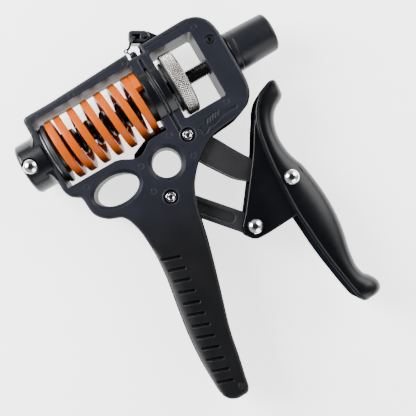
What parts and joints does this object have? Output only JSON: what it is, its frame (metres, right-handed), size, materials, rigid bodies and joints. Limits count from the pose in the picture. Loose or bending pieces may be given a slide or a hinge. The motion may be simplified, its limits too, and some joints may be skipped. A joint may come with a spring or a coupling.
{
  "type": "adjustable spring hand gripper",
  "caption": "Pistol-shaped finger and hand exerciser: squeezing its parallel-moving handle pulls a draw rod that compresses two coil springs preloaded by a knurled nut.",
  "frame": {"origin": "centre of the bounding box at its lowest level, with the gripper lying on its back", "axes": "+X along the spring axis towards the muzzle cap, +Y up the pistol from the grip to the top rail, +Z out of the front face"},
  "size_m": [0.1504, 0.1964, 0.0355],
  "materials": {
    "shell": "fine moulded texture, bluish charcoal",
    "handle": "smooth satin black",
    "link": "moulded black",
    "lever": "matte dark grey coating on pressed steel",
    "orange_spring": "glossy orange powder coat",
    "black_spring": "oiled black spring steel",
    "seat": "blackened steel",
    "rod": "black oxide thread",
    "steel": "plain zinc-plated steel",
    "nut": "diamond knurled rim, turned faces",
    "pin": "polished heads",
    "cap": "satin black, softened end edge",
    "screw": "black hex socket screws",
    "counter": "small black mouldings",
    "counter_face": "dark face plate",
    "wire": "spring wire"
  },
  "bodies": {
    "frame": {"frame_front": "shell", "frame_rear": "shell", "reaction_plate": "steel", "spring_cup": "seat", "outer_spring": "orange_spring", "inner_spring": "black_spring", "muzzle_cap": "cap", "pivot_pin": "pin", "link_pin": "pin", "pivot_spacer": "steel", "collar_stud": "pin", "muzzle_screw": "screw", "shell_screw_1": "screw", "shell_screw_2": "screw", "shell_screw_3": "screw", "shell_screw_4": "screw", "shell_screw_5": "screw", "counter_housing": "counter", "counter_cover": "counter_face", "counter_bracket": "counter", "trigger_pin": "wire"},
    "lever": {"lever_front": "lever", "lever_rear": "lever", "handle_spacer": "steel"},
    "handle": {"finger_handle": "handle", "handle_pin": "pin", "handle_link_pin": "pin"},
    "link": {"lower_link": "link"},
    "rod": {"draw_rod": "rod", "spring_seat": "seat", "seat_washer": "steel"},
    "nut_carrier": {"thrust_washer": "seat"},
    "nut": {"adjusting_nut": "nut"},
    "trigger": {"trigger_wire": "wire", "trigger_lever": "counter"},
    "reset_button": {"counter_button": "counter"}
  },
  "joints": [
    {"name": "squeeze", "type": "hinge", "parent": "frame", "child": "lever", "pos_m": [0.00835, 0.03423, 0.01775], "axis": [0, 0, -1], "range_deg": [0, 22], "stiffness_Nm_per_rad": 36, "springref_deg": -8.59},
    {"name": "handle_level", "type": "hinge", "parent": "lever", "child": "handle", "pos_m": [0.04425, -0.01177, 0.01775], "axis": [0, 0, -1], "range_deg": [-22.2, 0]},
    {"name": "link_swing", "type": "hinge", "parent": "frame", "child": "link", "pos_m": [-0.01545, 0.01063, 0.01775], "axis": [0, 0, -1], "range_deg": [0, 27.8]},
    {"name": "rod_slide", "type": "slide", "parent": "frame", "child": "rod", "axis": [1, 0, 0], "range_m": [0, 0.0103], "deforming": ["outer_spring", "inner_spring"]},
    {"name": "nut_travel", "type": "slide", "parent": "rod", "child": "nut_carrier", "axis": [1, 0, 0], "range_m": [0, 0.0026]},
    {"name": "nut_spin", "type": "hinge", "parent": "nut_carrier", "child": "nut", "pos_m": [0.01865, 0.06143, 0.01775], "axis": [1, 0, 0], "range_deg": [0, 720]},
    {"name": "trigger_turn", "type": "hinge", "parent": "frame", "child": "trigger", "pos_m": [0.00515, 0.08613, 0.01775], "axis": [0, 0, -1], "range_deg": [0, 8]},
    {"name": "reset_press", "type": "slide", "parent": "frame", "child": "reset_button", "axis": [0, 0, -1], "range_m": [0, 0.0008], "stiffness_N_per_m": 400}
  ],
  "couplings": [
    {"joint": "handle_level", "follows": "squeeze", "ratio": -1},
    {"joint": "link_swing", "follows": "squeeze", "ratio": 1.2565},
    {"joint": "rod_slide", "follows": "squeeze", "m_per_rad": 0.0262},
    {"joint": "nut_travel", "follows": "nut_spin", "m_per_rad": 0.00019894},
    {"joint": "trigger_turn", "follows": "squeeze", "ratio": 0.35}
  ]
}
